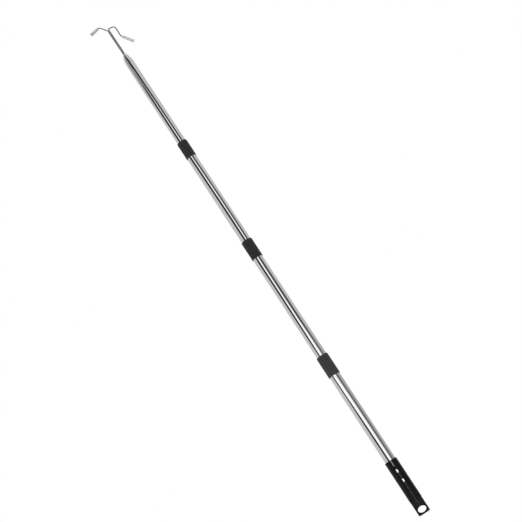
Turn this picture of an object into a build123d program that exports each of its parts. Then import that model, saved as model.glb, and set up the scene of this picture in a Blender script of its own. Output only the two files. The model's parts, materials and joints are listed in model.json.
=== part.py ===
from build123d import *
import os

# A telescopic reaching pole: four steel tubes that nest, a black moulded handle, ribbed collars,
# a twist lock inside each joint and a forked wire hook with soft tips.
# Millimetres. The pole stands along +Z with the hook up. The origin is on the pole's axis, in the
# middle of the handle's round gripping length. The handle's flat faces look along -Y and +Y.

# Tubes: number 1 is the widest and sits in the handle, number 4 carries the hook.
TUBE_COUNT = 4
tube_1_radius = 12.5
tube_wall = 0.3
nesting_gap = {2: 0.2, 3: 0.2, 4: 0.6}
exposed_length = {1: 219.5, 2: 265.2, 3: 238.1, 4: 236.0}
tube_overlap = {2: 32.0, 3: 50.0, 4: 50.0}
closed_gap = 1.0

# Collars at the mouths of tubes 1 to 3.
collar_length = {1: 51.9, 2: 48.4, 3: 45.0}
collar_wall = {1: 1.45, 2: 1.3, 3: 1.0}
collar_lip_height = 2.0
collar_lip_clearance = 0.10
collar_edge_round = 1.7
collar_rib_count = 30
collar_groove_radius = 0.9
collar_groove_depth = {1: 0.5, 2: 0.3, 3: 0.3}
collar_groove_margin = 3.0

# Handle: a round grip that turns into a flat tongue with a wide hanging hole.
handle_length = 131.6
grip_wall = 2.0
grip_rim_round = 0.8
grip_seam_turn = 37.5
scoop_height = 58.0
scoop_length = 24.0
tongue_thickness = 13.0
tongue_width = 28.0
tongue_corner = 1.8
tongue_edge_round = 3.3
hanging_hole_width = 19.0
hanging_hole_height = 13.6
hanging_hole_wall = 3.8
hanging_hole_edge = 1.0
ridge_width = 1.2
ridge_rise = 0.8
ridge_end_gap = 8.0
notch_width = 3.2
notch_depth = 14.6
window_width = 4.8
window_height = 7.6
window_pitch = 23.3
first_window_drop = 26.5
window_recess_margin = 1.8
window_recess_depth = 0.5
handle_seat_height = 60.0
bumper_length = 6.0

# Twist lock at the foot of tubes 2 to 4.
plug_depth = 12.0
plug_flange = 2.0
stud_radius = 3.0
stud_seat = 8.0
lock_axial_gap = 0.4
lock_sleeve_length = 23.6
lock_sleeve_clearance = 0.05
lock_web_height = 4.0
lock_web_clearance = 0.5
cone_small_radius = 4.6
cone_taper = 0.18
cone_gap = 0.35
wedge_drop = 6.0
wedge_length = 14.0
wedge_bore_clearance = 0.05
sleeve_slit = 2.4
key_side_gap = 0.4
key_proud = 0.6
wedge_travel = 1.0
end_nut_gap = 0.6
end_nut_height = 3.0
end_nut_across_flats = 10.0
stud_tail = 0.8
glide_stop_gap = 1.0
glide_clearance = 0.05
split_gap = 1.5

# Nose and wire hook.
nose_length = 27.6
nose_tip_radius = 3.75
nose_wall = 0.9
nose_spigot_length = 12.0
nose_spigot_wall = 1.0
nose_mouth_clearance = 0.15
wire_radius = 1.4
wire_gap = 0.5
wire_seat_depth = 32.0
socket_gap = 0.1
socket_top_drop = 14.0
socket_length = 26.0
head_turn = 20.0
shaft_lean = 0.5
left_fork_rise = 74.0
left_bend_out = 14.4
left_bend_rise = 16.7
left_prong_reach = 22.3
left_prong_drop = 7.7
left_fork_round = 8.0
left_bend_round = 5.5
hook_rise = 78.3
hook_width = 17.5
hook_leg = 29.8
hook_flare_out = 18.0
hook_flare_drop = 23.4
hook_inner_round = 3.6
hook_outer_round = 6.5
hook_flare_round = 5.0
tip_radius = 3.4
tip_lip_radius = 4.2
tip_lip_length = 2.0
tip_overhang = 4.0
tip_length = {"left": 23.6, "right": 31.0}
tip_edge_round = 0.5

# Derived sizes.
STAGES = range(2, TUBE_COUNT + 1)
tube_radius = {1: tube_1_radius}
for n in STAGES:
    tube_radius[n] = tube_radius[n - 1] - tube_wall - nesting_gap[n]
tube_bore = {n: tube_radius[n] - tube_wall for n in tube_radius}
handle_radius = tube_1_radius + grip_wall
grip_length = handle_length - grip_rim_round - scoop_height
handle_end = -(scoop_height + grip_length / 2)
handle_top = handle_end + handle_length

# Heights of the collars, the tube mouths, the tube feet and the nose, from the handle up.
collar_base = {}
collar_top = {}
level = handle_top
for n in range(1, TUBE_COUNT):
    collar_base[n] = level + exposed_length[n]
    collar_top[n] = collar_base[n] + collar_length[n]
    level = collar_top[n]
nose_base = level + exposed_length[TUBE_COUNT]
nose_tip = nose_base + nose_length
tube_mouth = {n: collar_top[n] - collar_lip_height for n in collar_top}
tube_mouth[TUBE_COUNT] = nose_base
tube_foot = {n: tube_mouth[n - 1] - tube_overlap[n] for n in STAGES}
tube_foot[1] = handle_end + handle_seat_height

# Each section slides in until the collars nearly meet or its lock nears what closes the tube below.
lock_gaps = lock_axial_gap + wedge_travel + end_nut_gap
lock_length = plug_flange + lock_gaps + lock_web_height + wedge_drop + wedge_length + end_nut_height + stud_tail
seat_height = {2: bumper_length, 3: plug_depth, 4: plug_depth}
slide_travel = {}
for n in STAGES:
    room = tube_foot[n] - lock_length - (tube_foot[n - 1] + seat_height[n])
    slide_travel[n] = min(exposed_length[n], room) - closed_gap


def tube_between(outer, inner, low, high):
    """A round tube on the pole's axis from height low to height high."""
    ring = Circle(outer) - Circle(inner)
    return extrude(Plane.XY.offset(low) * ring, high - low)


def rod_between(radius, low, high):
    """A round rod on the pole's axis from height low to height high."""
    return extrude(Plane.XY.offset(low) * Circle(radius), high - low)


def turned(points):
    """A solid of revolution about the pole's axis; points are (radius, height) pairs."""
    outline = Polyline([(r, 0, z) for r, z in points], close=True)
    return revolve(make_face(outline), Axis.Z)


def write(node, solid):
    """Write one sub-part as its own STEP file."""
    solid.label = node
    export_step(solid, f"parts/{node}.step")


def scoop(side, proud):
    """The wedge that is cut from the grip's end, on the -Y side (-1) or +Y side (+1).

    Its sloping face starts at the round surface and runs in to the tongue; proud moves it out."""
    outer = handle_radius * 2
    shallow = handle_radius + proud
    deep = tongue_thickness / 2 + proud
    top = handle_end + scoop_height
    points = [
        (side * shallow, top),
        (side * deep, top - scoop_length),
        (side * deep, handle_end - outer),
        (side * outer, handle_end - outer),
        (side * outer, top),
    ]
    outline = Polyline([(0, y, z) for y, z in points], close=True)
    return extrude(make_face(outline), outer, both=True)


def slot_through(width, height, centre, reach):
    """An upright slot with round ends that runs along Y through the whole grip."""
    profile = SlotOverall(height, width, rotation=90)
    return extrude(Plane.XZ.offset(0) * Pos(0, centre) * profile, reach, both=True)


def make_handle_grip():
    """Round grip with notch and windows, scooped to a tongue with a wide hanging hole."""
    # The round wall's seam is turned to stand clear of the notch and the windows.
    body = Rot(0, 0, grip_seam_turn) * rod_between(handle_radius, handle_end, handle_top)
    body = fillet(body.edges().group_by(Axis.Z)[-1], grip_rim_round)
    for side in (-1, 1):
        full = scoop(side, 0)
        rib_plate = Pos(0, 0, handle_end + scoop_height / 2) * Box(
            ridge_width, 4 * handle_radius, scoop_height
        )
        rib_low = handle_end + hanging_hole_wall + hanging_hole_height + ridge_end_gap
        rib_cut = Pos(0, 0, rib_low - handle_radius) * Box(
            2 * ridge_width, 4 * handle_radius, 2 * handle_radius
        )
        rib = (body & full & rib_plate) - scoop(side, ridge_rise) - rib_cut
        body = body - full + rib
    tongue_height = scoop_height - scoop_length
    tongue_top = handle_end + tongue_height
    face = Plane.XZ * Pos(0, handle_end + tongue_height / 2) * Rectangle(tongue_width, tongue_height)
    blade = extrude(face, tongue_thickness, both=True)
    blade = fillet(blade.edges().filter_by(Axis.Y).group_by(Axis.Z)[0], tongue_corner)
    section = RectangleRounded(tongue_width, tongue_thickness, tongue_edge_round)
    blade = blade & extrude(Plane.XY.offset(handle_end) * section, tongue_height)
    above = rod_between(handle_radius + 1, tongue_top, handle_top + 1)
    body = body & (blade + above)
    hole = extrude(
        Plane.XZ
        * Pos(0, handle_end + hanging_hole_wall + hanging_hole_height / 2)
        * Ellipse(hanging_hole_width / 2, hanging_hole_height / 2),
        tongue_thickness,
        both=True,
    )
    body = body - hole
    body = chamfer(rim_edges(body), hanging_hole_edge)
    body = body - rod_between(tube_1_radius, tube_foot[1], handle_top + 1)
    notch_height = 2 * notch_depth
    body = body - slot_through(notch_width, notch_height, handle_top, handle_radius + 1)
    for index in range(2):
        centre = handle_top - first_window_drop - index * window_pitch
        body = body - slot_through(window_width, window_height, centre, handle_radius + 1)
        recess = slot_through(
            window_width + 2 * window_recess_margin,
            window_height + 2 * window_recess_margin,
            centre,
            handle_radius + 1,
        )
        body = body - (recess - rod_between(handle_radius - window_recess_depth, handle_end, handle_top))
    return body


def rim_edges(body):
    """The two oval edges of the hanging hole on the tongue's faces."""
    half = tongue_thickness / 2
    middle = handle_end + hanging_hole_wall + hanging_hole_height / 2
    found = []
    for edge in body.edges():
        box = edge.bounding_box()
        on_face = abs(abs(box.center().Y) - half) < 0.01
        if on_face and abs(box.center().Z - middle) < 0.01 and box.size.Z > hanging_hole_height / 2:
            found.append(edge)
    return found


def make_collar(n):
    """Ribbed collar on the mouth of tube n, with a lip that guides the next tube."""
    outer = tube_radius[n] + collar_wall[n]
    lip_bore = tube_radius[n + 1] + collar_lip_clearance
    body = rod_between(outer, collar_base[n], collar_top[n])
    body = fillet(body.edges().group_by(Axis.Z)[-1], collar_edge_round)
    body = body - rod_between(lip_bore, collar_base[n] - 1, collar_top[n] + 1)
    body = body - rod_between(tube_radius[n], collar_base[n] - 1, tube_mouth[n])
    low = collar_base[n] + collar_groove_margin
    high = collar_top[n] - collar_groove_margin - collar_edge_round
    reach = outer + collar_groove_radius - collar_groove_depth[n]
    groove = Pos(reach, 0, low) * extrude(Circle(collar_groove_radius), high - low)
    return body - [Rot(0, 0, i * 360 / collar_rib_count) * groove for i in range(collar_rib_count)]


def make_lock(n):
    """The twist lock at the foot of tube n: plug, stud, split sleeve, cone wedge and end nut."""
    foot = tube_foot[n]
    outer_bore = tube_bore[n - 1]
    flange_low = foot - plug_flange
    sleeve_top = flange_low - lock_axial_gap
    sleeve_low = sleeve_top - lock_sleeve_length
    web_low = sleeve_top - lock_web_height
    wedge_top = web_low - wedge_drop
    wedge_low = wedge_top - wedge_length
    nut_top = wedge_low - wedge_travel - end_nut_gap
    nut_low = nut_top - end_nut_height
    stud_low = nut_low - stud_tail

    plug = rod_between(tube_bore[n], foot, foot + plug_depth)
    plug = plug + rod_between(tube_radius[n], flange_low, foot)
    plug = plug - rod_between(stud_radius, flange_low - 1, foot + stud_seat)
    write(f"lock_plug_{n}", plug)

    write(f"lock_stud_{n}", rod_between(stud_radius, stud_low, foot + stud_seat))

    wide = cone_small_radius + cone_taper * (web_low - sleeve_low)
    sleeve = rod_between(outer_bore - lock_sleeve_clearance, sleeve_low, sleeve_top)
    sleeve = sleeve - rod_between(stud_radius + lock_web_clearance, sleeve_low, sleeve_top)
    sleeve = sleeve - turned(
        [(0, web_low), (cone_small_radius, web_low), (wide, sleeve_low), (0, sleeve_low)]
    )
    slit_height = web_low - sleeve_low
    slit = Pos(outer_bore / 2, 0, sleeve_low + slit_height / 2) * Box(
        outer_bore, sleeve_slit, slit_height
    )
    write(f"lock_sleeve_{n}", sleeve - slit)

    top_radius = cone_small_radius + cone_taper * (web_low - wedge_top) - cone_gap
    low_radius = cone_small_radius + cone_taper * (web_low - wedge_low) - cone_gap
    wedge = turned([(0, wedge_top), (top_radius, wedge_top), (low_radius, wedge_low), (0, wedge_low)])
    key_reach = low_radius + key_proud
    key = Pos(key_reach / 2, 0, (wedge_top + wedge_low) / 2) * Box(
        key_reach, sleeve_slit - 2 * key_side_gap, wedge_top - wedge_low
    )
    wedge = wedge + key
    wedge = wedge - rod_between(stud_radius + wedge_bore_clearance, wedge_low - 1, wedge_top + 1)
    write(f"lock_wedge_{n}", wedge)

    nut = extrude(
        Plane.XY.offset(nut_low) * RegularPolygon(end_nut_across_flats / 2, 6, major_radius=False),
        end_nut_height,
    )
    write(f"lock_nut_{n}", nut - rod_between(stud_radius, nut_low - 1, nut_top + 1))

    glide_length = tube_overlap[n] - glide_stop_gap
    glide = tube_between(outer_bore - glide_clearance, tube_radius[n], foot, foot + glide_length)
    split = Pos(outer_bore, 0, foot + glide_length / 2) * Box(outer_bore, split_gap, glide_length)
    write(f"glide_sleeve_{n}", glide - split)


def make_nose():
    """Steel nose on tube 4: an ogive shell that starts flush with the tube, with a spigot."""
    outer = tube_radius[TUBE_COUNT]
    mouth = nose_mouth_radius()
    spigot = tube_bore[TUBE_COUNT]
    spigot_bore = spigot - nose_spigot_wall
    low = nose_base - nose_spigot_length
    outside = TangentArc((outer, 0, nose_base), (nose_tip_radius, 0, nose_tip), tangent=(0, 0, 1))
    rest = Polyline(
        (nose_tip_radius, 0, nose_tip),
        (mouth, 0, nose_tip),
        (mouth, 0, nose_tip - nose_wall),
    )
    inner_arc = TangentArc(
        (spigot_bore, 0, nose_base), (mouth, 0, nose_tip - nose_wall), tangent=(0, 0, 1)
    )
    foot = Polyline(
        (spigot_bore, 0, nose_base),
        (spigot_bore, 0, low),
        (spigot, 0, low),
        (spigot, 0, nose_base),
        (outer, 0, nose_base),
    )
    outline = Wire([*outside.edges(), *rest.edges(), *inner_arc.edges(), *foot.edges()])
    return revolve(make_face(outline), Axis.Z)


def nose_mouth_radius():
    """The nose's mouth just clears the pair of wires."""
    return 2 * wire_radius + wire_gap / 2 + nose_mouth_clearance


def on_head(points):
    """Points (x, z) in the plane of the head, before it is turned about the pole."""
    return [(x, 0, z) for x, z in points]


def wire_along(points, radii):
    """A round wire along straight runs joined by arcs, in the plane of the head."""
    path = FilletPolyline(*on_head(points), radius=radii)
    start = Plane(origin=path @ 0, z_dir=path % 0)
    return sweep(start * Circle(wire_radius), path=path)


def tip_sleeve(inner_end, outer_end, length):
    """A soft sleeve on a wire's last straight run, with a rolled lip and an open mouth."""
    run = Vector(*outer_end) - Vector(*inner_end)
    along = run.normalized()
    mouth = Vector(*outer_end) + along * tip_overhang
    root = mouth - along * length
    axis_plane = Plane(origin=root, z_dir=along)
    body = extrude(axis_plane * Circle(tip_radius), length)
    lip = extrude(axis_plane.offset(length - tip_lip_length) * Circle(tip_lip_radius), tip_lip_length)
    body = body + lip
    rims = [e for e in body.edges().filter_by(GeomType.CIRCLE) if on_outside(e, axis_plane, length)]
    body = fillet(rims, tip_edge_round)
    return body - extrude(axis_plane * Circle(wire_radius), length)


def on_outside(edge, plane, length):
    """Whether a round edge of the sleeve is one of its two end rims."""
    height = plane.to_local_coords(edge.center(CenterOf.BOUNDING_BOX)).Z
    return abs(height) < 0.01 or abs(height - length) < 0.01


def make_hook():
    """The two wires, their soft tips and the socket that holds them inside the nose."""
    half = wire_radius + wire_gap / 2
    foot = nose_tip - wire_seat_depth
    turn = Rot(0, 0, head_turn)

    fork = (-half - shaft_lean, nose_tip + left_fork_rise)
    bend = (fork[0] - left_bend_out, fork[1] + left_bend_rise)
    left_end = (bend[0] - left_prong_reach, bend[1] - left_prong_drop)
    left = wire_along(
        [(-half, foot), (-half, nose_tip), fork, bend, left_end],
        [left_fork_round, left_fork_round, left_bend_round],
    )
    write("hook_wire_left", turn * left)
    left_tip = tip_sleeve(*on_head([bend, left_end]), tip_length["left"])
    write("tip_sleeve_left", turn * left_tip)

    top = (half - shaft_lean, nose_tip + hook_rise)
    over = (top[0] + hook_width, top[1])
    leg = (over[0], over[1] - hook_leg)
    right_end = (leg[0] + hook_flare_out, leg[1] - hook_flare_drop)
    right = wire_along(
        [(half, foot), (half, nose_tip), top, over, leg, right_end],
        [left_fork_round, hook_inner_round, hook_outer_round, hook_flare_round],
    )
    write("hook_wire_right", turn * right)
    right_tip = tip_sleeve(*on_head([leg, right_end]), tip_length["right"])
    write("tip_sleeve_right", turn * right_tip)

    socket_top = nose_tip - socket_top_drop
    socket_radius = tube_bore[TUBE_COUNT] - nose_spigot_wall - socket_gap
    socket = rod_between(socket_radius, socket_top - socket_length, socket_top)
    socket = socket & nose_room()
    for side in (-1, 1):
        bore = Pos(side * half, 0, foot) * extrude(Circle(wire_radius), socket_top + 1 - foot)
        socket = socket - bore
    write("hook_socket", turn * socket)


def nose_room():
    """The space inside the nose and its spigot, less the socket's clearance."""
    wide = tube_bore[TUBE_COUNT] - nose_spigot_wall - socket_gap
    narrow = nose_mouth_radius() - socket_gap
    low = nose_base - 2 * nose_length
    top = nose_tip - nose_wall
    arc = TangentArc((wide, 0, nose_base), (narrow, 0, top), tangent=(0, 0, 1))
    rest = Polyline((narrow, 0, top), (0, 0, top), (0, 0, low), (wide, 0, low), (wide, 0, nose_base))
    return revolve(make_face(Wire([*arc.edges(), *rest.edges()])), Axis.Z)


def main():
    os.makedirs("parts", exist_ok=True)
    write("handle_grip", make_handle_grip())
    bumper = rod_between(tube_bore[1], tube_foot[1], tube_foot[1] + bumper_length)
    write("tube_bumper", bumper)
    for n in tube_radius:
        write(f"tube_{n}", tube_between(tube_radius[n], tube_bore[n], tube_foot[n], tube_mouth[n]))
    for n in collar_base:
        write(f"collar_{n}", make_collar(n))
    for n in STAGES:
        make_lock(n)
    write("nose_cone", make_nose())
    make_hook()
    print("slide travel of each section, mm:", {n: round(slide_travel[n], 1) for n in STAGES})


main()
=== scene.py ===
import json
import math

import bpy
import numpy as np
from mathutils import Matrix, Vector


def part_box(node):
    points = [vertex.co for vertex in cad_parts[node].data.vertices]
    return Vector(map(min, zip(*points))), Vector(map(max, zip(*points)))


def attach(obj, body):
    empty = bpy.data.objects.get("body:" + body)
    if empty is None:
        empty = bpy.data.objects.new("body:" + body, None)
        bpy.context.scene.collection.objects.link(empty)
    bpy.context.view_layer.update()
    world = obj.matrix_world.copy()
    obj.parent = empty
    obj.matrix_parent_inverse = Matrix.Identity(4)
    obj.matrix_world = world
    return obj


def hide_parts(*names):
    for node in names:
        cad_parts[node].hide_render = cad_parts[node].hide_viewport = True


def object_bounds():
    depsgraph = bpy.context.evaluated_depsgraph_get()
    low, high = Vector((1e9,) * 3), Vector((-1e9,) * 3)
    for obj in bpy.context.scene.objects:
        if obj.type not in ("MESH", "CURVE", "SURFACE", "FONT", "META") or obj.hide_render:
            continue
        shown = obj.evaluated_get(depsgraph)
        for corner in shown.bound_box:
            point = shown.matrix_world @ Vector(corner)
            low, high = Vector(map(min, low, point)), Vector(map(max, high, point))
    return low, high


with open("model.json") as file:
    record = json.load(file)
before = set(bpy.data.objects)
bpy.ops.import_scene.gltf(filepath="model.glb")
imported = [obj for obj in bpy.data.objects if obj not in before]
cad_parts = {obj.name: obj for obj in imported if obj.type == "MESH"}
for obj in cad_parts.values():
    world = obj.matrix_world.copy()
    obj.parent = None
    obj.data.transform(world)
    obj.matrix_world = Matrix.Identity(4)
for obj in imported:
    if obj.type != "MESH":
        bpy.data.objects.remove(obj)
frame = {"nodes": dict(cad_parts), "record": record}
cad_low, cad_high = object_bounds()

# Sizes in metres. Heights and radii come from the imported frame.
MM = 0.001
ROUND = 2 * math.pi

# Wires: each bend is (out, up or down) from the one before, and the rounds are the bends' radii in order.
WIRE_RADIUS = 1.4 * MM
WIRE_GAP = 0.5 * MM
WIRE_SEAT = 32.0 * MM
HEAD_TURN = math.radians(20.0)
SHAFT_LEAN = 0.5 * MM
LEFT_FORK_RISE = 74.0 * MM
LEFT_BEND = (14.4 * MM, 16.7 * MM)
LEFT_REACH = (22.3 * MM, 7.7 * MM)
LEFT_ROUNDS = [8.0 * MM, 8.0 * MM, 5.5 * MM]
HOOK_RISE = 78.3 * MM
HOOK_WIDTH = 17.5 * MM
HOOK_LEG = 29.8 * MM
HOOK_FLARE = (18.0 * MM, 23.4 * MM)
HOOK_ROUNDS = [8.0 * MM, 3.6 * MM, 6.5 * MM, 5.0 * MM]
WIRE_STEP = 2.5 * MM
TIP_RADIUS = 3.4 * MM
TIP_LIP_RADIUS = 4.2 * MM
TIP_OVERHANG = 4.0 * MM
TIP_LENGTH = {"left": 23.6 * MM, "right": 31.0 * MM}

# Tubes, nose and collars. A collar's grooves stop short of its foot and its top.
TUBE_WALL = 0.3 * MM
NOSE_TIP_RADIUS = 3.75 * MM
NOSE_WALL = 1.0 * MM
NOSE_RIM = 0.15 * MM
NOSE_MOUTH_CLEARANCE = 0.15 * MM
COLLAR_RIBS = 30
COLLAR_LIP = 2.0 * MM
COLLAR_GUIDE_GAP = 0.1 * MM
COLLAR_TOP_ROUND = 1.7 * MM
GROOVE_DEPTH = {1: 0.5 * MM, 2: 0.3 * MM, 3: 0.3 * MM}
GROOVE_FOOT = 3.0 * MM
GROOVE_TOP = 4.7 * MM
GROOVE_FADE = 0.9 * MM

# Handle: the notch and windows are (width, height), and the bead is its own half width and half height.
SCOOP_HEIGHT = 58.0 * MM
SCOOP_LENGTH = 24.0 * MM
TONGUE_THICKNESS = 13.0 * MM
TONGUE_WIDTH = 28.0 * MM
HOLE_WIDTH = 19.0 * MM
HOLE_HEIGHT = 13.6 * MM
HOLE_WALL = 3.8 * MM
NOTCH = (3.2 * MM, 14.6 * MM)
WINDOW = (4.8 * MM, 7.6 * MM)
WINDOW_PITCH = 23.3 * MM
FIRST_WINDOW_DROP = 26.5 * MM
WINDOW_SINK = 0.5 * MM
HANDLE_SEAT = 60.0 * MM
RIM_ROUND = 0.8 * MM
END_ROUND = 1.0 * MM
TONGUE_CORNER = 3.0 * MM
RIB_FOOT = 24.5 * MM
RIB_RISE = 0.75 * MM
RIDGE_RISE = 0.25 * MM
RIDGE_DROP = 22.0 * MM
BEAD = (HOLE_WIDTH / 2 + 3.4 * MM, HOLE_HEIGHT / 2 + 3.6 * MM)
BEAD_RISE = 0.4 * MM

# Edges sharper than these angles, in degrees, stay crisp.
CREASE = 35.0
CUT_CREASE = 38.0

# Floor, lamp and camera.
FLOOR_DROP = 0.55
FLOOR_RADIUS = 3.6
FLOOR_THICKNESS = 0.02
LAMP_PLACE = (-0.7, -0.6, 3.6)
LAMP_AIM = (0.0, 0.0, 0.5)
CAMERA_TILT = math.radians(14.0)
CAMERA_ROLL = math.radians(33.25)
CAMERA_DISTANCE = 2.799
CAMERA_AIM_HEIGHT = 0.5639
CAMERA_ASIDE = 0.0026
CAMERA_ABOVE = 0.0002

# Studio: what stands round the pole, in degrees. A pair is the bearings where something fades in or out,
# and a list is (height above the horizon, value) stops.
SURROUND_LIGHT = 0.88
GAP_SOFT = 3.0
PANEL_END = (-46.0, -6.0)
SIDE_START = (35.0, 75.0)
LEFT_START = (-95.0, -70.0)
LEFT_END = (-25.0, 0.0)
GAP_BEARING = [(0, -27), (3.9, -30), (5.2, -35), (6.6, -39), (7.7, -43), (9.5, -41), (12.3, -31),
               (13.8, -31), (15.2, -17), (16.8, -14), (18.1, -19), (19.3, -25), (20.6, -36),
               (23.3, -34), (26, -30), (90, -30)]
GAP_HALF = [(0, 18), (5.2, 17), (6.6, 12), (8.5, 13), (10, 18), (13.8, 20), (15.2, 22), (19.3, 22),
            (20.6, 25), (23.3, 22), (25, 14), (90, 14)]
GAP_DEPTH = [(0, 0.98), (23.3, 0.98), (24.4, 0.0), (90, 0.0)]
FLAG_BEARING = [(0, 57), (5.8, 56), (7.2, 49), (9.5, 44), (10.9, 39), (13.8, 40), (15.7, 48),
                (17.5, 49), (19.3, 37), (20.9, 29), (21.7, 27), (22.9, 22), (24.1, 10), (27, 6),
                (40, -6), (90, -12)]
FLAG_HALF = [(0, 23), (13.8, 23), (15.2, 19), (20.6, 19), (23, 20), (24, 22), (30, 25), (90, 27)]
FLAG_SOFT = [(0, 10), (13.8, 8), (15.2, 6), (20.6, 4), (90, 4)]
FLAG_DEPTH = [(0, 0.70), (9, 0.72), (10.9, 0.90), (19.3, 0.90), (20.6, 0.96), (90, 0.96)]
PANEL_LIGHT = [(0, 0.8), (12.0, 0.8), (16, 1.1), (19.3, 1.1), (20.6, 1.0), (22.9, 1.1), (24, 0.2),
               (30, 0.0), (90, 0.0)]
SIDE_SHADE = [(0, 0.3), (8.5, 0.28), (11, 0.06), (90, 0.06)]
LEFT_SHADE = [(0, 0.0), (22.0, 0.0), (24.1, 0.45), (90, 0.45)]


# ---------------------------------------------------------------- surfaces

def grid_faces(rows, columns, rows_closed):
    """Quads of a grid of points whose columns close on themselves, and whose rows may close too."""
    last = rows if rows_closed else rows - 1
    r, c = np.meshgrid(np.arange(last), np.arange(columns), indexing="ij")
    up, right = (r + 1) % rows, (c + 1) % columns
    quads = [r * columns + c, r * columns + right, up * columns + right, up * columns + c]
    return np.stack(quads, axis=-1).reshape(-1, 4)


def enclosed_volume(points, faces):
    """Volume inside a closed surface of quads: a sixth of the sum of the triangles' triple products."""
    a, b, c, d = (points[faces[:, k]] for k in range(4))
    first = np.einsum("ij,ij->i", a, np.cross(b, c))
    second = np.einsum("ij,ij->i", a, np.cross(c, d))
    return (first.sum() + second.sum()) / 6


def make_piece(name, points, quads, fans=()):
    """A closed mesh with outward faces. fans are (pole index, ring of indices) caps of triangles."""
    tris = [np.stack([np.full(len(ring), pole), ring, np.roll(ring, -1)], axis=-1) for pole, ring in fans]
    tris = np.concatenate(tris) if fans else np.zeros((0, 3), dtype=int)
    if enclosed_volume(points, np.concatenate([quads, tris[:, [0, 1, 2, 2]]])) < 0:
        quads, tris = quads[:, ::-1], tris[:, ::-1]
    mesh = bpy.data.meshes.new(name)
    mesh.from_pydata(points.tolist(), [], quads.tolist() + tris.tolist())
    mesh.validate()
    return placed(mesh, CREASE)


def placed(mesh, crease):
    """The mesh as an object in the scene, shaded smooth but for edges sharper than the crease angle."""
    mesh.polygons.foreach_set("use_smooth", np.ones(len(mesh.polygons), dtype=bool))
    mesh.set_sharp_from_angle(angle=math.radians(crease))
    mesh.update()
    piece = bpy.data.objects.new(mesh.name, mesh)
    bpy.context.scene.collection.objects.link(piece)
    return piece


def rounded_loop(corners, radii, steps=5):
    """A closed outline of (radius, height) points; each corner is an arc tangent to both its sides.

    An arc of radius q at a corner that turns by 2w starts q tan w before the corner."""
    corners = np.array(corners, dtype=float)
    out = []
    for k, corner in enumerate(corners):
        before = corners[k - 1] - corner
        after = corners[(k + 1) % len(corners)] - corner
        out.extend(arc_at(corner, before, after, radii[k], steps))
    return np.array(out)


def arc_at(corner, before, after, radius, steps):
    """Points of the arc of a given radius that rounds one corner between two straight sides.

    An arc's point is its start and end weighted by the sines of the swing left and the swing gone."""
    if radius <= 0:
        return [corner]
    u, v = before / np.linalg.norm(before), after / np.linalg.norm(after)
    half = math.acos(float(np.clip(u @ v, -1, 1))) / 2
    middle = (u + v) / np.linalg.norm(u + v)
    centre = corner + middle * radius / math.sin(half)
    start = corner + u * radius / math.tan(half) - centre
    end = corner + v * radius / math.tan(half) - centre
    swing = math.pi - 2 * half
    share = np.linspace(0, 1, steps)[:, None]
    along = np.sin((1 - share) * swing) * start + np.sin(share * swing) * end
    return list(centre + along / math.sin(swing))


def spaced(loop, longest):
    """The outline with extra points, so that no side is longer than the given length."""
    out = []
    for k in range(len(loop)):
        a, b = loop[k], loop[(k + 1) % len(loop)]
        parts = max(1, math.ceil(np.linalg.norm(b - a) / longest))
        out.append(a + (b - a) * np.arange(parts)[:, None] / parts)
    return np.vstack(out)


def turned(name, loop, columns, relief=None):
    """A closed outline turned round the pole's axis: x = r cos t, y = r sin t.

    relief(t, r, z) is taken off the radius, for ribs and dents."""
    t = np.linspace(0, ROUND, columns, endpoint=False)[None, :]
    r, z = loop[:, :1], loop[:, 1:]
    radius = r - relief(t, r, z) if relief else r + 0 * t
    points = np.stack([radius * np.cos(t), radius * np.sin(t), z + 0 * t], axis=-1).reshape(-1, 3)
    return make_piece(name, points, grid_faces(len(loop), columns, True))


def wire_line(points, radii, step):
    """Centre line through straight runs joined by tangent arcs, as points about a step apart."""
    points = [np.array((x, z), dtype=float) for x, z in points]
    out = [points[0]]
    for k in range(1, len(points) - 1):
        before, after = points[k - 1] - points[k], points[k + 1] - points[k]
        out.extend(arc_at(points[k], before, after, radii[k - 1], 9))
    out.append(points[-1])
    dense = []
    for a, b in zip(out[:-1], out[1:]):
        parts = max(1, math.ceil(np.linalg.norm(b - a) / step))
        dense.extend(a + (b - a) * k / parts for k in range(parts))
    return np.array(dense + [out[-1]])


def on_head(flat):
    """Points (x, z) of the head's plane, turned about the pole: x runs along (cos, sin) of the turn."""
    x, z = flat[..., 0], flat[..., 1]
    return np.stack([x * math.cos(HEAD_TURN), x * math.sin(HEAD_TURN), z], axis=-1)


def round_bar(name, line, radius, columns=20):
    """A round bar along a line in the head's plane, with domed ends.

    Each ring is line + radius (n cos t + b sin t), with n in the plane and b square to it."""
    centres, scale = dome(line, radius)
    ahead = np.gradient(centres, axis=0)
    ahead /= np.linalg.norm(ahead, axis=1)[:, None]
    across = np.stack([-ahead[:, 1], ahead[:, 0]], axis=-1)
    n = on_head(across)
    b = np.array([-math.sin(HEAD_TURN), math.cos(HEAD_TURN), 0.0])
    t = np.linspace(0, ROUND, columns, endpoint=False)[None, :, None]
    ring = n[:, None, :] * np.cos(t) + b * np.sin(t)
    points = on_head(centres)[:, None, :] + ring * (radius * scale)[:, None, None]
    return capped(name, points)


def dome(line, radius, steps=4):
    """The line with extra points at both ends, and each ring's share of the radius: a half sphere."""
    angle = np.linspace(0.12, math.pi / 2, steps)
    share = np.sin(angle)
    first, last = line[0], line[-1]
    way_in = (line[1] - first) / np.linalg.norm(line[1] - first)
    way_out = (last - line[-2]) / np.linalg.norm(last - line[-2])
    depth = (1 - np.cos(angle - math.pi / 2))[:, None] * radius
    head = first + way_in * depth
    tail = last - way_out * depth[::-1]
    inner = line[1:-1]
    return np.vstack([head, inner, tail]), np.concatenate([share, np.ones(len(inner)), share[::-1]])


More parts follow.
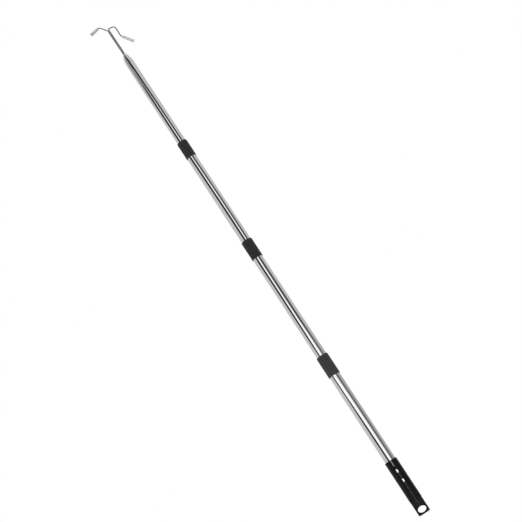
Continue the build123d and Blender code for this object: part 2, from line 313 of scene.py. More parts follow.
def capped(name, rings):
    """Rings of points joined into a tube, with a pole at the middle of each end ring."""
    rows, columns = rings.shape[:2]
    points = rings.reshape(-1, 3)
    poles = np.stack([rings[0].mean(axis=0), rings[-1].mean(axis=0)])
    points = np.vstack([points, poles])
    quads = grid_faces(rows, columns, False)
    first = np.arange(columns)[::-1]
    last = np.arange((rows - 1) * columns, rows * columns)
    fans = [(rows * columns, first), (rows * columns + 1, last)]
    return make_piece(name, points, quads, fans)


# ---------------------------------------------------------------- materials

def new_material(name):
    """An empty node material: its tree, its Principled shader and its object coordinates."""
    material = bpy.data.materials.new(name)
    material.use_nodes = True
    tree = material.node_tree
    shader = tree.nodes["Principled BSDF"]
    place = tree.nodes.new("ShaderNodeTexCoord").outputs["Object"]
    return material, tree, shader, place


def stretched(tree, place, scale):
    """Object coordinates scaled by a different number along each axis."""
    mapping = tree.nodes.new("ShaderNodeMapping")
    mapping.inputs["Scale"].default_value = scale
    tree.links.new(place, mapping.inputs["Vector"])
    return mapping.outputs["Vector"]


def cloud(tree, place, scale, detail=4.0, rough=0.55):
    """Soft noise, 0 to 1."""
    node = tree.nodes.new("ShaderNodeTexNoise")
    node.inputs["Scale"].default_value = scale
    node.inputs["Detail"].default_value = detail
    node.inputs["Roughness"].default_value = rough
    tree.links.new(place, node.inputs["Vector"])
    return node.outputs["Fac"]


def between(tree, value, low_in, high_in, low_out, high_out):
    """Maps one range on to another, with a smooth start and end."""
    node = tree.nodes.new("ShaderNodeMapRange")
    node.interpolation_type = "SMOOTHSTEP"
    node.inputs["From Min"].default_value = low_in
    node.inputs["From Max"].default_value = high_in
    node.inputs["To Min"].default_value = low_out
    node.inputs["To Max"].default_value = high_out
    tree.links.new(value, node.inputs["Value"])
    return node.outputs["Result"]


def maths(tree, operation, a, b=None, c=None):
    """One arithmetic node; its inputs are sockets or numbers."""
    node = tree.nodes.new("ShaderNodeMath")
    node.operation = operation
    for k, value in enumerate((a, b, c)):
        if value is None:
            continue
        if isinstance(value, (int, float)):
            node.inputs[k].default_value = value
        else:
            tree.links.new(value, node.inputs[k])
    return node.outputs[0]


def two_tone(tree, share, dark, light):
    """Colour between two tones by a share from 0 to 1."""
    node = tree.nodes.new("ShaderNodeMix")
    node.data_type = "RGBA"
    node.inputs[6].default_value = (*dark, 1)
    node.inputs[7].default_value = (*light, 1)
    tree.links.new(share, node.inputs["Factor"])
    return node.outputs[2]


def apart(tree, place):
    """The three numbers of a point."""
    node = tree.nodes.new("ShaderNodeSeparateXYZ")
    tree.links.new(place, node.inputs[0])
    return node.outputs


def tinted(tree, share, colour, grey):
    """A colour blended towards a plain grey by a share from 0 to 1."""
    node = tree.nodes.new("ShaderNodeMix")
    node.data_type = "RGBA"
    tree.links.new(colour, node.inputs[6])
    node.inputs[7].default_value = (grey, grey, grey, 1)
    tree.links.new(share, node.inputs["Factor"])
    return node.outputs[2]


def bumps(tree, shader, height, strength, distance):
    """Fine relief on a shader's normal."""
    node = tree.nodes.new("ShaderNodeBump")
    node.inputs["Strength"].default_value = strength
    node.inputs["Distance"].default_value = distance
    tree.links.new(height, node.inputs["Height"])
    tree.links.new(node.outputs["Normal"], shader.inputs["Normal"])


def drawn_steel(name, tone=0.60, polish=0.045, notch_shade=None):
    """Polished drawn steel: faint lengthwise grain, hairline scuffs and finger haze in its gloss.

    stain is the (low, high) of a stretch darkened as painted shade, where the handle's notch bares and
    shades the tube."""
    material, tree, shader, place = new_material(name)
    shader.inputs["Metallic"].default_value = 1.0
    grain = cloud(tree, stretched(tree, place, (2200, 2200, 14)), 1.0, 3.0, 0.6)
    haze = cloud(tree, stretched(tree, place, (34, 34, 16)), 1.0, 5.0, 0.6)
    scuff = cloud(tree, stretched(tree, place, (260, 260, 900)), 1.0, 2.0, 0.5)
    fleck = between(tree, scuff, 0.62, 0.75, 0.0, 1.0)
    gloss = maths(tree, "ADD", between(tree, haze, 0.35, 0.75, polish * 0.7, polish * 1.6),
                  maths(tree, "MULTIPLY", grain, polish * 0.4))
    gloss = maths(tree, "ADD", gloss, maths(tree, "MULTIPLY", fleck, 0.05))
    tree.links.new(gloss, shader.inputs["Roughness"])
    shade = maths(tree, "ADD", maths(tree, "MULTIPLY", grain, 0.5), maths(tree, "MULTIPLY", haze, 0.5))
    light = (tone * 1.04, tone * 1.045, tone * 1.05)
    dark = (tone * 0.94, tone * 0.94, tone * 0.945)
    colour = two_tone(tree, shade, dark, light)
    # Painted shade: the notch's stretch is darkened towards a dark grey, unevenly by the haze.
    if notch_shade:
        up = apart(tree, place)[2]
        low, high = notch_shade
        shade_band = maths(tree, "MULTIPLY", between(tree, up, low - 0.5 * MM, low + 0.5 * MM, 0.0, 1.0),
                     between(tree, up, high - 0.6 * MM, high, 1.0, 0.0))
        shade_share = maths(tree, "MULTIPLY", shade_band, between(tree, haze, 0.3, 0.7, 0.95, 0.8))
        colour = tinted(tree, shade_share, colour, 0.05)
    tree.links.new(colour, shader.inputs["Base Color"])
    bumps(tree, shader, grain, 0.05, 0.00002)
    return material


def bright_wire(name):
    """Drawn steel wire: a tighter grain, and darker in fine tool marks all along it."""
    material, tree, shader, place = new_material(name)
    shader.inputs["Metallic"].default_value = 1.0
    mark = cloud(tree, place, 900, 4.0, 0.6)
    haze = cloud(tree, place, 120, 3.0, 0.5)
    tree.links.new(between(tree, haze, 0.3, 0.75, 0.10, 0.26), shader.inputs["Roughness"])
    colour = two_tone(tree, mark, (0.17, 0.17, 0.175), (0.25, 0.25, 0.255))
    tree.links.new(colour, shader.inputs["Base Color"])
    bumps(tree, shader, mark, 0.12, 0.00003)
    return material


def moulded(name, dark, light, rough_low, rough_high, peel, peel_depth, shine=0.5):
    """Moulded plastic: a pebbled skin, dull rubbed patches and a few fine scratches."""
    material, tree, shader, place = new_material(name)
    shader.inputs["Specular IOR Level"].default_value = shine
    skin = cloud(tree, place, peel, 3.0, 0.55)
    rubbed = cloud(tree, place, 60, 5.0, 0.6)
    scratch = cloud(tree, stretched(tree, place, (1500, 1500, 60)), 1.0, 2.0, 0.5)
    line = maths(tree, "MULTIPLY", between(tree, scratch, 0.66, 0.74, 0.0, 1.0), 0.5)
    gloss = between(tree, rubbed, 0.35, 0.75, rough_low, rough_high)
    gloss = maths(tree, "ADD", gloss, maths(tree, "MULTIPLY", line, 0.18))
    tree.links.new(gloss, shader.inputs["Roughness"])
    share = maths(tree, "ADD", maths(tree, "MULTIPLY", rubbed, 0.7), maths(tree, "MULTIPLY", line, 0.5))
    tree.links.new(two_tone(tree, share, dark, light), shader.inputs["Base Color"])
    relief = maths(tree, "ADD", skin, maths(tree, "MULTIPLY", line, -0.6))
    bumps(tree, shader, relief, 0.35, peel_depth)
    return material


def grip_with_painted_sheen(name, top, end):
    """The grip's gloss black, with painted highlights lightened into its colour along its front ridge and
    on the bead above the hanging hole.
    """
    dark, light = (0.007, 0.007, 0.008), (0.018, 0.018, 0.019)
    material = moulded(name, dark, light, 0.18, 0.3, 420, 0.00006, 0.09)
    tree = material.node_tree
    shader = tree.nodes["Principled BSDF"]
    place = tree.nodes.new("ShaderNodeTexCoord").outputs["Object"]
    x, y, z = apart(tree, place)
    off = maths(tree, "ABSOLUTE", x)
    front = between(tree, y, -2 * MM, 0.0, 1.0, 0.0)
    ridge = maths(tree, "MULTIPLY", between(tree, off, 0.5 * MM, 1.1 * MM, 1.0, 0.0),
                  between(tree, z, top - RIDGE_DROP, top - RIDGE_DROP + MM, 1.0, 0.0))
    foot = end + RIB_FOOT
    ridge = maths(tree, "MULTIPLY", ridge, between(tree, z, foot, foot + MM, 0.0, 1.0))
    step = maths(tree, "ABSOLUTE", maths(tree, "SUBTRACT", z, end + SCOOP_HEIGHT))
    ridge = maths(tree, "MULTIPLY", ridge, between(tree, step, 0.5 * MM, 1.6 * MM, 0.0, 1.0))
    drop = maths(tree, "SUBTRACT", z, end + HOLE_WALL + HOLE_HEIGHT / 2)
    across = maths(tree, "POWER", maths(tree, "DIVIDE", off, BEAD[0]), 2.0)
    upward = maths(tree, "DIVIDE", maths(tree, "ABSOLUTE", drop), BEAD[1])
    away = maths(tree, "SQRT", maths(tree, "ADD", across, maths(tree, "POWER", upward, 2.0)))
    beside = maths(tree, "ABSOLUTE", maths(tree, "SUBTRACT", away, 1.0))
    bead = between(tree, beside, 0.02, 0.08, 1.0, 0.0)
    bead = maths(tree, "MULTIPLY", bead, between(tree, off, 2.5 * MM, 6.0 * MM, 1.0, 0.0))
    bead = maths(tree, "MULTIPLY", bead, between(tree, drop, 0.0, MM, 0.0, 1.0))
    sheen_mottle = cloud(tree, place, 300, 4.0, 0.6)
    # Painted highlight: the front ridge and the bead's crest are lightened towards grey, on the front only,
    # mottled by noise.
    share = maths(tree, "MULTIPLY", maths(tree, "MAXIMUM", ridge, bead),
                  between(tree, sheen_mottle, 0.35, 0.65, 0.55, 1.0))
    share = maths(tree, "MULTIPLY", share, front)
    colour = shader.inputs["Base Color"].links[0].from_socket
    tree.links.new(tinted(tree, share, colour, 0.10), shader.inputs["Base Color"])
    return material


def milky_sleeve(name, core, side_shade_tone):
    """Soft milky sleeve: cloudy, with a dull rubbed skin and painted shade, a greyer band, down each side.

    The painted shade lies along the head's plane, so the distance from that plane sets how grey the skin
    is."""
    material, tree, shader, place = new_material(name)
    shader.inputs["Transmission Weight"].default_value = 0.12
    shader.inputs["IOR"].default_value = 1.42
    x, y, _ = apart(tree, place)
    off = maths(tree, "SUBTRACT", maths(tree, "MULTIPLY", y, math.cos(HEAD_TURN)),
                maths(tree, "MULTIPLY", x, math.sin(HEAD_TURN)))
    milk = cloud(tree, place, 500, 4.0, 0.6)
    wander = maths(tree, "MULTIPLY", maths(tree, "SUBTRACT", milk, 0.5), 1.5 * MM)
    from_shaded_side = maths(tree, "ADD", maths(tree, "ABSOLUTE", off), wander)
    lit_share = between(tree, from_shaded_side, 1.1 * MM, 2.3 * MM, 0.0, 1.0)
    # Painted shade: the skin greys towards the sides that lie along the head's plane, with wandering edges.
    dark, light = (side_shade_tone, side_shade_tone, side_shade_tone * 1.01), (core, core, core * 1.01)
    tree.links.new(two_tone(tree, lit_share, dark, light), shader.inputs["Base Color"])
    tree.links.new(between(tree, milk, 0.3, 0.8, 0.30, 0.45), shader.inputs["Roughness"])
    bumps(tree, shader, cloud(tree, place, 1400, 3.0, 0.5), 0.25, 0.00004)
    return material


# ---------------------------------------------------------------- pole

def tube_loop(outer, low, high):
    """Outline of a thin tube's wall: two long sides joined by rounded rims."""
    inner = outer - TUBE_WALL
    lip = TUBE_WALL * 0.45
    loop = rounded_loop([(outer, low), (outer, high), (inner, high), (inner, low)], [lip] * 4)
    return spaced(loop, 0.03)


def build_tubes(steel):
    """The four nested tubes, each replaced by a smooth turned one of the same size.

    The lowest has painted shade where the handle's notch bares it."""
    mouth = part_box("handle_grip")[1][2]
    # The lowest tube's stretch in the handle's notch is darkened as painted shade.
    notch_shaded_steel = drawn_steel("polished_steel_notch_shaded", notch_shade=(mouth - NOTCH[1] - MM, mouth))
    for n in range(1, 5):
        low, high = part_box(f"tube_{n}")
        piece = turned(f"steel_tube_{n}", tube_loop(high[0], low[2], high[2]), 128)
        piece.data.materials.append(notch_shaded_steel if n == 1 else steel)
        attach(piece, "handle" if n == 1 else f"section_{n}")
        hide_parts(f"tube_{n}")


def build_collars(plastic, lit_plastic_copy):
    """Ribbed collars: a turned sleeve whose outer wall is fluted by a raised cosine.

    The lowest gets a lighter copy of the same plastic, as painted light."""
    for n in range(1, 4):
        low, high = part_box(f"collar_{n}")
        outer = high[0]
        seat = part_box(f"tube_{n}")[1][0]
        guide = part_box(f"tube_{n + 1}")[1][0] + COLLAR_GUIDE_GAP
        ledge = high[2] - COLLAR_LIP
        corners = [(outer, low[2]), (outer, high[2]), (guide, high[2]),
                   (guide, ledge), (seat, ledge), (seat, low[2])]
        radii = [0.15 * MM, COLLAR_TOP_ROUND, 0.12 * MM, 0.0, 0.0, 0.1 * MM]
        loop = spaced(rounded_loop(corners, radii, 8), 1.2 * MM)
        groove_low, groove_high = low[2] + GROOVE_FOOT, high[2] - GROOVE_TOP

        def flutes(t, r, z, outer=outer, first=groove_low, last=groove_high, depth=GROOVE_DEPTH[n]):
            """Flutes of a flattened cosine, faded in at both ends, on the outer wall only."""
            wave = np.clip(0.5 - 0.9 * np.cos(COLLAR_RIBS * t), 0, 1)
            fade = np.clip((z - first) / GROOVE_FADE, 0, 1) * np.clip((last - z) / GROOVE_FADE, 0, 1)
            on_wall = r > outer - 0.05 * MM
            return depth * wave * np.sqrt(fade) * on_wall

        piece = turned(f"ribbed_collar_{n}", loop, COLLAR_RIBS * 10, flutes)
        # Painted light: the lowest collar takes the lighter copy of the same plastic.
        piece.data.materials.append(lit_plastic_copy if n == 1 else plastic)
        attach(piece, "handle" if n == 1 else f"section_{n}")
        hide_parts(f"collar_{n}")


def build_nose(steel):
    """The nose: an arc that starts in line with the tube and runs in to the wires' mouth."""
    low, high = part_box("nose_cone")
    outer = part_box("tube_4")[1][0]
    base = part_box("tube_4")[1][2]
    mouth = 2 * WIRE_RADIUS + WIRE_GAP / 2 + NOSE_MOUTH_CLEARANCE
    spigot = outer - TUBE_WALL
    bore = spigot - NOSE_WALL

    def ogive(start, end, rise):
        """Radii and heights of an arc, upright at its foot: r = start - (R - sqrt(R^2 - h^2))."""
        drop = start - end
        big = (rise * rise + drop * drop) / (2 * drop)
        h = np.linspace(0, rise, 26)
        return np.stack([start - (big - np.sqrt(big * big - h * h)), base + h], axis=-1)

    outside = ogive(outer, NOSE_TIP_RADIUS, high[2] - base)
    inside = ogive(bore, mouth, high[2] - base - 0.9 * MM)[::-1]
    lip = np.array([(NOSE_TIP_RADIUS - NOSE_RIM, high[2]), (mouth + 0.1 * MM, high[2] - 0.02 * MM)])
    foot = np.array([(bore, low[2]), (spigot, low[2]), (spigot, base)])
    loop = np.vstack([outside[:-1], [[NOSE_TIP_RADIUS, high[2] - NOSE_RIM]], lip, inside, foot])
    piece = turned("nose_ferrule", loop, 128)
    piece.data.materials.append(steel)
    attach(piece, "section_4")
    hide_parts("nose_cone")


# ---------------------------------------------------------------- hook

def build_hook(wire, sleeves):
    """Two bent wires side by side, and a soft sleeve on each end."""
    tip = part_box("nose_cone")[1][2]
    half = WIRE_RADIUS + WIRE_GAP / 2
    foot = tip - WIRE_SEAT

    fork = (-half - SHAFT_LEAN, tip + LEFT_FORK_RISE)
    bend = (fork[0] - LEFT_BEND[0], fork[1] + LEFT_BEND[1])
    left_end = (bend[0] - LEFT_REACH[0], bend[1] - LEFT_REACH[1])
    left = wire_line([(-half, foot), (-half, tip), fork, bend, left_end], LEFT_ROUNDS, WIRE_STEP)

    top = (half - SHAFT_LEAN, tip + HOOK_RISE)
    over = (top[0] + HOOK_WIDTH, top[1])
    leg = (over[0], over[1] - HOOK_LEG)
    right_end = (leg[0] + HOOK_FLARE[0], leg[1] - HOOK_FLARE[1])
    right = wire_line([(half, foot), (half, tip), top, over, leg, right_end], HOOK_ROUNDS, WIRE_STEP)

    for side, line, root, end in (("left", left, bend, left_end), ("right", right, leg, right_end)):
        bar = round_bar(f"bent_wire_{side}", line, WIRE_RADIUS)
        bar.data.materials.append(wire)
        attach(bar, "section_4")
        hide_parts(f"hook_wire_{side}")
        cover = soft_tip(side, np.array(root), np.array(end))
        cover.data.materials.append(sleeves[side])
        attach(cover, "section_4")
        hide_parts(f"tip_sleeve_{side}")


def soft_tip(side, root, end):
    """A sleeve over a wire's last run: a tube with a rolled lip, a waist and an open mouth."""
    length = TIP_LENGTH[side]
    ahead = (end - root) / np.linalg.norm(end - root)
    start = end + ahead * (TIP_OVERHANG - length)
    wall = TIP_RADIUS
    bore = WIRE_RADIUS + 0.02 * MM
    corners = [(wall * 0.94, 0.0), (wall, length * 0.5), (wall, length - 3.2 * MM),
               (TIP_LIP_RADIUS, length - 2.2 * MM), (TIP_LIP_RADIUS, length), (bore, length), (bore, 0.0)]
    radii = [0.6 * MM, 6 * MM, 1.0 * MM, 0.7 * MM, 0.7 * MM, 0.3 * MM, 0.2 * MM]
    loop = spaced(rounded_loop(corners, radii, 6), 1.5 * MM)
    t = np.linspace(0, ROUND, 48, endpoint=False)[None, :, None]
    across = on_head(np.array([-ahead[1], ahead[0]]))
    square = np.array([-math.sin(HEAD_TURN), math.cos(HEAD_TURN), 0.0])
    centres = on_head(start + ahead * loop[:, 1:])
    rings = centres[:, None, :] + (across * np.cos(t) + square * np.sin(t)) * loop[:, :1][:, :, None]
    return make_piece(f"soft_tip_{side}", rings.reshape(-1, 3), grid_faces(len(loop), 48, True))


# ---------------------------------------------------------------- handle

def build_handle():
    """The grip: a round bar whose end is scooped to a flat tongue, cut by the notch, windows and hole."""
    low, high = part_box("handle_grip")
    end, top, outer = low[2], high[2], high[1]
    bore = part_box("tube_1")[1][0] + 0.02 * MM
    seat = end + HANDLE_SEAT
    windows = [top - FIRST_WINDOW_DROP - k * WINDOW_PITCH for k in range(2)]
    hole_centre = end + HOLE_WALL + HOLE_HEIGHT / 2

    columns = 400
    t = np.linspace(0, ROUND, columns, endpoint=False)[None, :]
    z = np.concatenate([end + 0.35 * MM * np.array([0.0, 0.4, 1.2, 2.4, 4.0]),
                        np.arange(end + 2.2 * MM, top - 0.9 * MM, 0.8 * MM),
                        top - 0.8 * MM * np.array([1.0, 0.6, 0.3, 0.1, 0.0])])[:, None]
    radius = grip_radius(t, z, end, top, outer, windows, hole_centre)
    wall = np.stack([radius * np.cos(t), radius * np.sin(t), z + 0 * t], axis=-1)
    floor_in = np.stack([wall[0, :, 0] * 0.93, wall[0, :, 1] * 0.93, np.full(columns, end)], axis=-1)
    inner = []
    for r, height in ((bore + 0.5 * MM, top), (bore, top - 0.5 * MM), (bore, seat)):
        inner.append(np.stack([r * np.cos(t[0]), r * np.sin(t[0]), np.full(columns, height)], axis=-1))
    rings = np.concatenate([floor_in[None], wall, np.array(inner)])
    body = capped("grip_blank", rings)

    cutters = [upright_slot("notch_cut", top, NOTCH[0], 2 * NOTCH[1], outer * 2)]
    for k, centre in enumerate(windows):
        cutters.append(upright_slot(f"window_cut_{k}", centre, WINDOW[0], WINDOW[1], outer * 2))
    cutters.append(oval_bar("hole_cut", hole_centre, HOLE_WIDTH, HOLE_HEIGHT, outer * 2))
    piece = cut_away("moulded_grip", body, cutters)
    piece.data.materials.append(grip_with_painted_sheen("gloss_black_grip", top, end))
    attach(piece, "handle")
    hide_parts("handle_grip")


def step_between(value, low, high):
    """0 below low, 1 above high, and a smooth cubic between."""
    x = np.clip((value - low) / (high - low), 0, 1)
    return x * x * (3 - 2 * x)


def grip_radius(t, z, end, top, outer, windows, hole_centre):
    """Distance from the axis to the grip's skin at angle t and height z.

    The section is a circle cut by two flats: a blend of outer, depth / |sin t| and width / |cos t|,
    by 1 / r = (sum of 1 / each^p)^(1/p). The flats run in along a slope, a thin rib stands on them,
    and a bead arches over the hole. A fine ridge runs on from the rib up the round front. Round each
    window the skin sinks a little, and it rolls in at the hole and at both ends."""
    sin, cos = np.abs(np.sin(t)), np.abs(np.cos(t))
    slope = (outer - TONGUE_THICKNESS / 2) / SCOOP_LENGTH
    scoop_top = end + SCOOP_HEIGHT
    flat = np.maximum(outer + slope * (z - scoop_top), TONGUE_THICKNESS / 2)
    width = np.where(z < scoop_top - SCOOP_LENGTH, TONGUE_WIDTH / 2, 10 * outer)
    edge = np.clip((z - end) / TONGUE_CORNER, 0, 1)
    width = width - TONGUE_CORNER * (1 - np.sqrt(np.clip(1 - (1 - edge) ** 2, 0, 1))) * (edge < 1)
    x = flat / np.maximum(sin, 0.02) * np.cos(t)
    rib_foot = end + RIB_FOOT
    rib_on = step_between(z, rib_foot, rib_foot + 1.5 * MM)
    rib_on = rib_on * (1 - step_between(z, scoop_top - 1.5 * MM, scoop_top))
    rib = RIB_RISE * np.exp(-((x / (0.62 * MM)) ** 4)) * rib_on
    ring = np.hypot(x / BEAD[0], (z - hole_centre) / BEAD[1])
    bead = BEAD_RISE * np.exp(-(((ring - 1) / 0.05) ** 2)) * (z > hole_centre)
    rim = np.hypot(x / (HOLE_WIDTH / 2 + 1.2 * MM), (z - hole_centre) / (HOLE_HEIGHT / 2 + 1.2 * MM))
    roll = 1.0 * MM * (1 - step_between(rim, 0.86, 1.03))
    depth = flat + rib + bead - roll
    power = 36
    inverse = (1 / outer) ** power + (sin / depth) ** power + (cos / width) ** power
    radius = inverse ** (-1 / power)
    on_front = (np.sin(t) < 0) * step_between(z, scoop_top, scoop_top + 2 * MM) * (z < windows[0])
    radius = radius + RIDGE_RISE * np.exp(-((outer * np.cos(t) / (0.6 * MM)) ** 4)) * on_front
    for centre in windows:
        side = np.abs(outer * np.cos(t))
        up = np.maximum(np.abs(z - centre) - (WINDOW[1] - WINDOW[0]) / 2, 0)
        away = np.hypot(side, up)
        brink = WINDOW[0] / 2
        sink = WINDOW_SINK * (1 - step_between(away, brink + 1.1 * MM, brink + 1.9 * MM))
        radius = radius - sink
    at_top = np.clip((top - z) / RIM_ROUND, 0, 1)
    radius = radius - RIM_ROUND * (1 - np.sqrt(1 - (1 - at_top) ** 2))
    at_end = np.clip((z - end) / END_ROUND, 0, 1)
    return radius - END_ROUND * (1 - np.sqrt(1 - (1 - at_end) ** 2))


def upright_slot(name, centre, width, height, reach):
    """A bar that runs along Y, whose section is an upright slot with round ends."""
    t = np.linspace(0, ROUND, 64, endpoint=False)
    lift = np.sign(np.sin(t)) * (height - width) / 2
    return bar_along_y(name, width / 2 * np.cos(t), centre + width / 2 * np.sin(t) + lift, reach)


def oval_bar(name, centre, width, height, reach):
    """A bar that runs along Y, whose section is an ellipse."""
    t = np.linspace(0, ROUND, 96, endpoint=False)
    return bar_along_y(name, width / 2 * np.cos(t), centre + height / 2 * np.sin(t), reach)


def bar_along_y(name, x, z, reach):
    """A straight closed bar along Y with the given section."""
    rings = np.stack([np.stack([x, np.full_like(x, y), z], axis=-1) for y in (-reach, reach)])
    return capped(name, rings)


def cut_away(name, body, cutters):
    """The body less the cutters, as one mesh."""
    for cutter in cutters:
        cut = body.modifiers.new(cutter.name, "BOOLEAN")
        cut.operation, cut.solver, cut.object = "DIFFERENCE", "EXACT", cutter
    bpy.context.view_layer.update()
    graph = bpy.context.evaluated_depsgraph_get()
    mesh = bpy.data.meshes.new_from_object(body.evaluated_get(graph))
    mesh.name = name
    for spare in (body, *cutters):
        bpy.data.objects.remove(spare)
    return placed(mesh, CUT_CREASE)


# ---------------------------------------------------------------- inside

def dress_inner_parts(finishes):
    """Gives the CAD pieces inside the pole their finishes."""
    slots = {row["node"]: row["material_slot"] for row in frame["record"]["subparts"]}
    for node, piece in frame["nodes"].items():
        finish = finishes.get(slots[node])
        if finish is not None:
            piece.data.materials.clear()
            piece.data.materials.append(finish)


# ---------------------------------------------------------------- studio

def build_studio():
    """A pale floor well below the pole, whose edge fades out, and one big soft lamp overhead."""
    height = cad_low[2] - FLOOR_DROP
    t = np.linspace(0, ROUND, 96, endpoint=False)
    profile = ((0.5, 0.0), (FLOOR_RADIUS, 0.0), (FLOOR_RADIUS, FLOOR_THICKNESS), (0.5, FLOOR_THICKNESS))
    rings = np.array([np.stack([r * np.cos(t), r * np.sin(t), np.full_like(t, height - d)], axis=-1)
                      for r, d in profile])
    floor = capped("studio_floor", rings)
    paper, tree, shader, place = new_material("studio_paper")
    grain = cloud(tree, place, 40, 3.0, 0.5)
    white = two_tone(tree, grain, (0.90, 0.90, 0.90), (0.93, 0.93, 0.93))
    tree.links.new(white, shader.inputs["Base Color"])
    shader.inputs["Roughness"].default_value = 0.8
    reach = tree.nodes.new("ShaderNodeVectorMath")
    reach.operation = "LENGTH"
    tree.links.new(place, reach.inputs[0])
    tree.links.new(between(tree, reach.outputs["Value"], 1.6, 3.5, 1.0, 0.0), shader.inputs["Alpha"])
    floor.data.materials.append(paper)

    lamp = bpy.data.lights.new("overhead_softbox", "AREA")
    lamp.shape, lamp.size, lamp.size_y, lamp.energy = "RECTANGLE", 2.4, 2.4, 28.0
    box = bpy.data.objects.new("overhead_softbox", lamp)
    box.visible_glossy = False
    box.location = LAMP_PLACE
    aim = Vector(LAMP_AIM) - Vector(LAMP_PLACE)
    box.rotation_euler = aim.to_track_quat("-Z", "Y").to_euler()
    bpy.context.scene.collection.objects.link(box)


def build_surroundings():
    """White all round, with the studio's flags in what the metal mirrors.

    a is the bearing round the pole from the front, positive to the right, and e the height above the
    horizon, both in degrees. A bright panel stands in front, between a narrow dark gap on its left and a
    wide soft dark flag on its right. Both wander with height, and above the panel the flag closes in.
    The far right is a little dimmer, and so is the left above the gap."""
    world = bpy.data.worlds.new("studio")
    bpy.context.scene.world = world
    world.use_nodes = True
    tree = world.node_tree
    way = tree.nodes.new("ShaderNodeSeparateXYZ")
    tree.links.new(tree.nodes.new("ShaderNodeTexCoord").outputs["Generated"], way.inputs[0])
    to_degrees = 180 / math.pi
    front = maths(tree, "MULTIPLY", way.outputs["Y"], -1.0)
    a = maths(tree, "MULTIPLY", maths(tree, "ARCTAN2", way.outputs["X"], front), to_degrees)
    e = maths(tree, "MULTIPLY", maths(tree, "ARCSINE", way.outputs["Z"]), to_degrees)
    height = maths(tree, "DIVIDE", e, 90.0)
    gap_at = along_height(tree, height, GAP_BEARING)
    gap_half = along_height(tree, height, GAP_HALF)
    flag_at = along_height(tree, height, FLAG_BEARING)
    flag_half = along_height(tree, height, FLAG_HALF)

    def strip(centre, half, soft):
        """1 inside a strip of bearings and 0 outside it, with soft edges."""
        off = maths(tree, "SUBTRACT", maths(tree, "ABSOLUTE", maths(tree, "SUBTRACT", a, centre)), half)
        return between(tree, maths(tree, "DIVIDE", off, soft), -1.0, 1.0, 1.0, 0.0)

    def dimmed(light, shade, amount):
        """Light less a share of itself where the shade is 1."""
        kept = maths(tree, "SUBTRACT", 1.0, maths(tree, "MULTIPLY", shade, amount))
        return maths(tree, "MULTIPLY", light, kept)

    gap = strip(gap_at, gap_half, GAP_SOFT)
    flag = strip(flag_at, flag_half, along_height(tree, height, FLAG_SOFT))
    panel_start = between(tree, maths(tree, "SUBTRACT", a, gap_at), -GAP_SOFT, GAP_SOFT, 0.0, 1.0)
    panel_end = between(tree, maths(tree, "SUBTRACT", a, flag_at), *PANEL_END, 1.0, 0.0)
    panel = maths(tree, "MULTIPLY", panel_start, panel_end)
    side = between(tree, a, *SIDE_START, 0.0, 1.0)
    left = maths(tree, "MULTIPLY", between(tree, a, *LEFT_START, 0.0, 1.0),
                 between(tree, a, *LEFT_END, 1.0, 0.0))
    light = maths(tree, "MULTIPLY", panel, along_height(tree, height, PANEL_LIGHT))
    light = maths(tree, "ADD", light, SURROUND_LIGHT)
    for shade, depth in ((gap, GAP_DEPTH), (flag, FLAG_DEPTH), (side, SIDE_SHADE), (left, LEFT_SHADE)):
        light = dimmed(light, shade, along_height(tree, height, depth))

    mirrored = tree.nodes["Background"]
    tree.links.new(light, mirrored.inputs["Strength"])
    mirrored.inputs["Color"].default_value = (1, 1, 1, 1)
    seen = tree.nodes.new("ShaderNodeBackground")
    seen.inputs["Color"].default_value = (1, 1, 1, 1)
    seen.inputs["Strength"].default_value = 1.0
    mix = tree.nodes.new("ShaderNodeMixShader")
    tree.links.new(tree.nodes.new("ShaderNodeLightPath").outputs["Is Camera Ray"], mix.inputs["Fac"])
    tree.links.new(mirrored.outputs[0], mix.inputs[1])
    tree.links.new(seen.outputs[0], mix.inputs[2])
    tree.links.new(mix.outputs[0], tree.nodes["World Output"].inputs["Surface"])


def along_height(tree, height, stops):
    """A number that follows (degrees above the horizon, value) stops in straight lines."""
    node = tree.nodes.new("ShaderNodeValToRGB")
    ramp = node.color_ramp
    low = min(value for _, value in stops)
    span = max(value for _, value in stops) - low
    ramp.elements.remove(ramp.elements[1])
    for k, (degrees, value) in enumerate(stops):
        stop = ramp.elements[0] if k == 0 else ramp.elements.new(degrees / 90)
        stop.position = degrees / 90
        share = (value - low) / span
        stop.color = (share, share, share, 1)
    tree.links.new(height, node.inputs["Fac"])
    return maths(tree, "MULTIPLY_ADD", node.outputs["Color"], span, low)


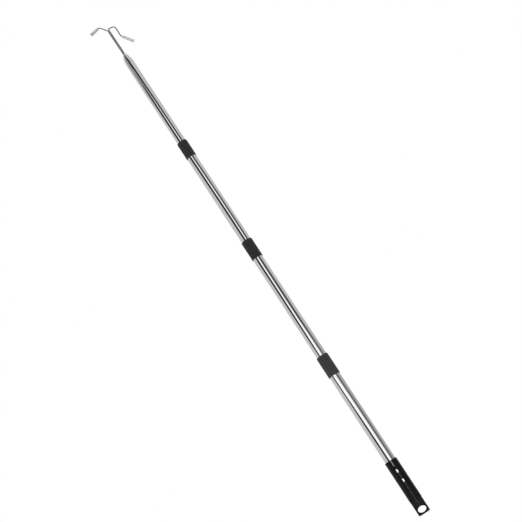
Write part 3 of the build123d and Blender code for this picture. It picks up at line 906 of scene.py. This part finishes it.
def build_camera():
    """A long lens in front of the pole, below its middle and looking up along it, rolled over.

    The pole's top leans away by the tilt; the roll lays the hook at the upper left."""
    look = Vector((0, math.cos(CAMERA_TILT), math.sin(CAMERA_TILT)))
    along = Vector((0, -math.sin(CAMERA_TILT), math.cos(CAMERA_TILT)))
    side = Vector((1, 0, 0))
    right = side * math.cos(CAMERA_ROLL) - along * math.sin(CAMERA_ROLL)
    up = side * math.sin(CAMERA_ROLL) + along * math.cos(CAMERA_ROLL)
    data = bpy.data.cameras.new("long_lens")
    data.lens, data.sensor_width = 85.72, 36.0
    data.clip_start, data.clip_end = 0.05, 60.0
    camera = bpy.data.objects.new("long_lens", data)
    place = Vector((0, 0, CAMERA_AIM_HEIGHT)) - look * CAMERA_DISTANCE
    place += side * CAMERA_ASIDE + along * CAMERA_ABOVE
    turn = Matrix((right, up, -look)).transposed()
    camera.matrix_world = Matrix.Translation(place) @ turn.to_4x4()
    bpy.context.scene.collection.objects.link(camera)
    bpy.context.scene.camera = camera


def main():
    """Builds every shown piece, the studio and the camera."""
    steel = drawn_steel("polished_steel")
    build_tubes(steel)
    build_nose(steel)
    # The second collar finish is a lighter copy of the first, as painted light.
    build_collars(
        moulded("charcoal_collar", (0.02, 0.02, 0.021), (0.038, 0.038, 0.04), 0.42, 0.6, 900, 0.00012, 0.2),
        moulded("lit_collar_copy", (0.045, 0.045, 0.046), (0.085, 0.085, 0.087), 0.5, 0.65, 900, 0.00012,
                0.15))
    # The left sleeve's finish is a darker copy of the right one's, as painted shade.
    build_hook(bright_wire("bright_wire"), {"left": milky_sleeve("shaded_sleeve_copy", 0.70, 0.34),
                                            "right": milky_sleeve("lit_sleeve_copy", 0.84, 0.58)})
    build_handle()
    dress_inner_parts({
        "zinc_steel": drawn_steel("zinc_plate", 0.55, 0.3),
        "black_rubber": moulded("black_rubber", (0.012, 0.012, 0.012), (0.03, 0.03, 0.03), 0.7, 0.9, 700,
                                0.0002),
        "grey_plastic": moulded("grey_socket", (0.22, 0.22, 0.23), (0.32, 0.32, 0.33), 0.4, 0.55, 500,
                                0.0001),
        "white_nylon": moulded("white_nylon", (0.74, 0.74, 0.71), (0.84, 0.84, 0.82), 0.35, 0.5, 500,
                               0.00008),
    })
    build_surroundings()
    build_studio()
    build_camera()
    bpy.context.scene.view_settings.view_transform = "Standard"


main()
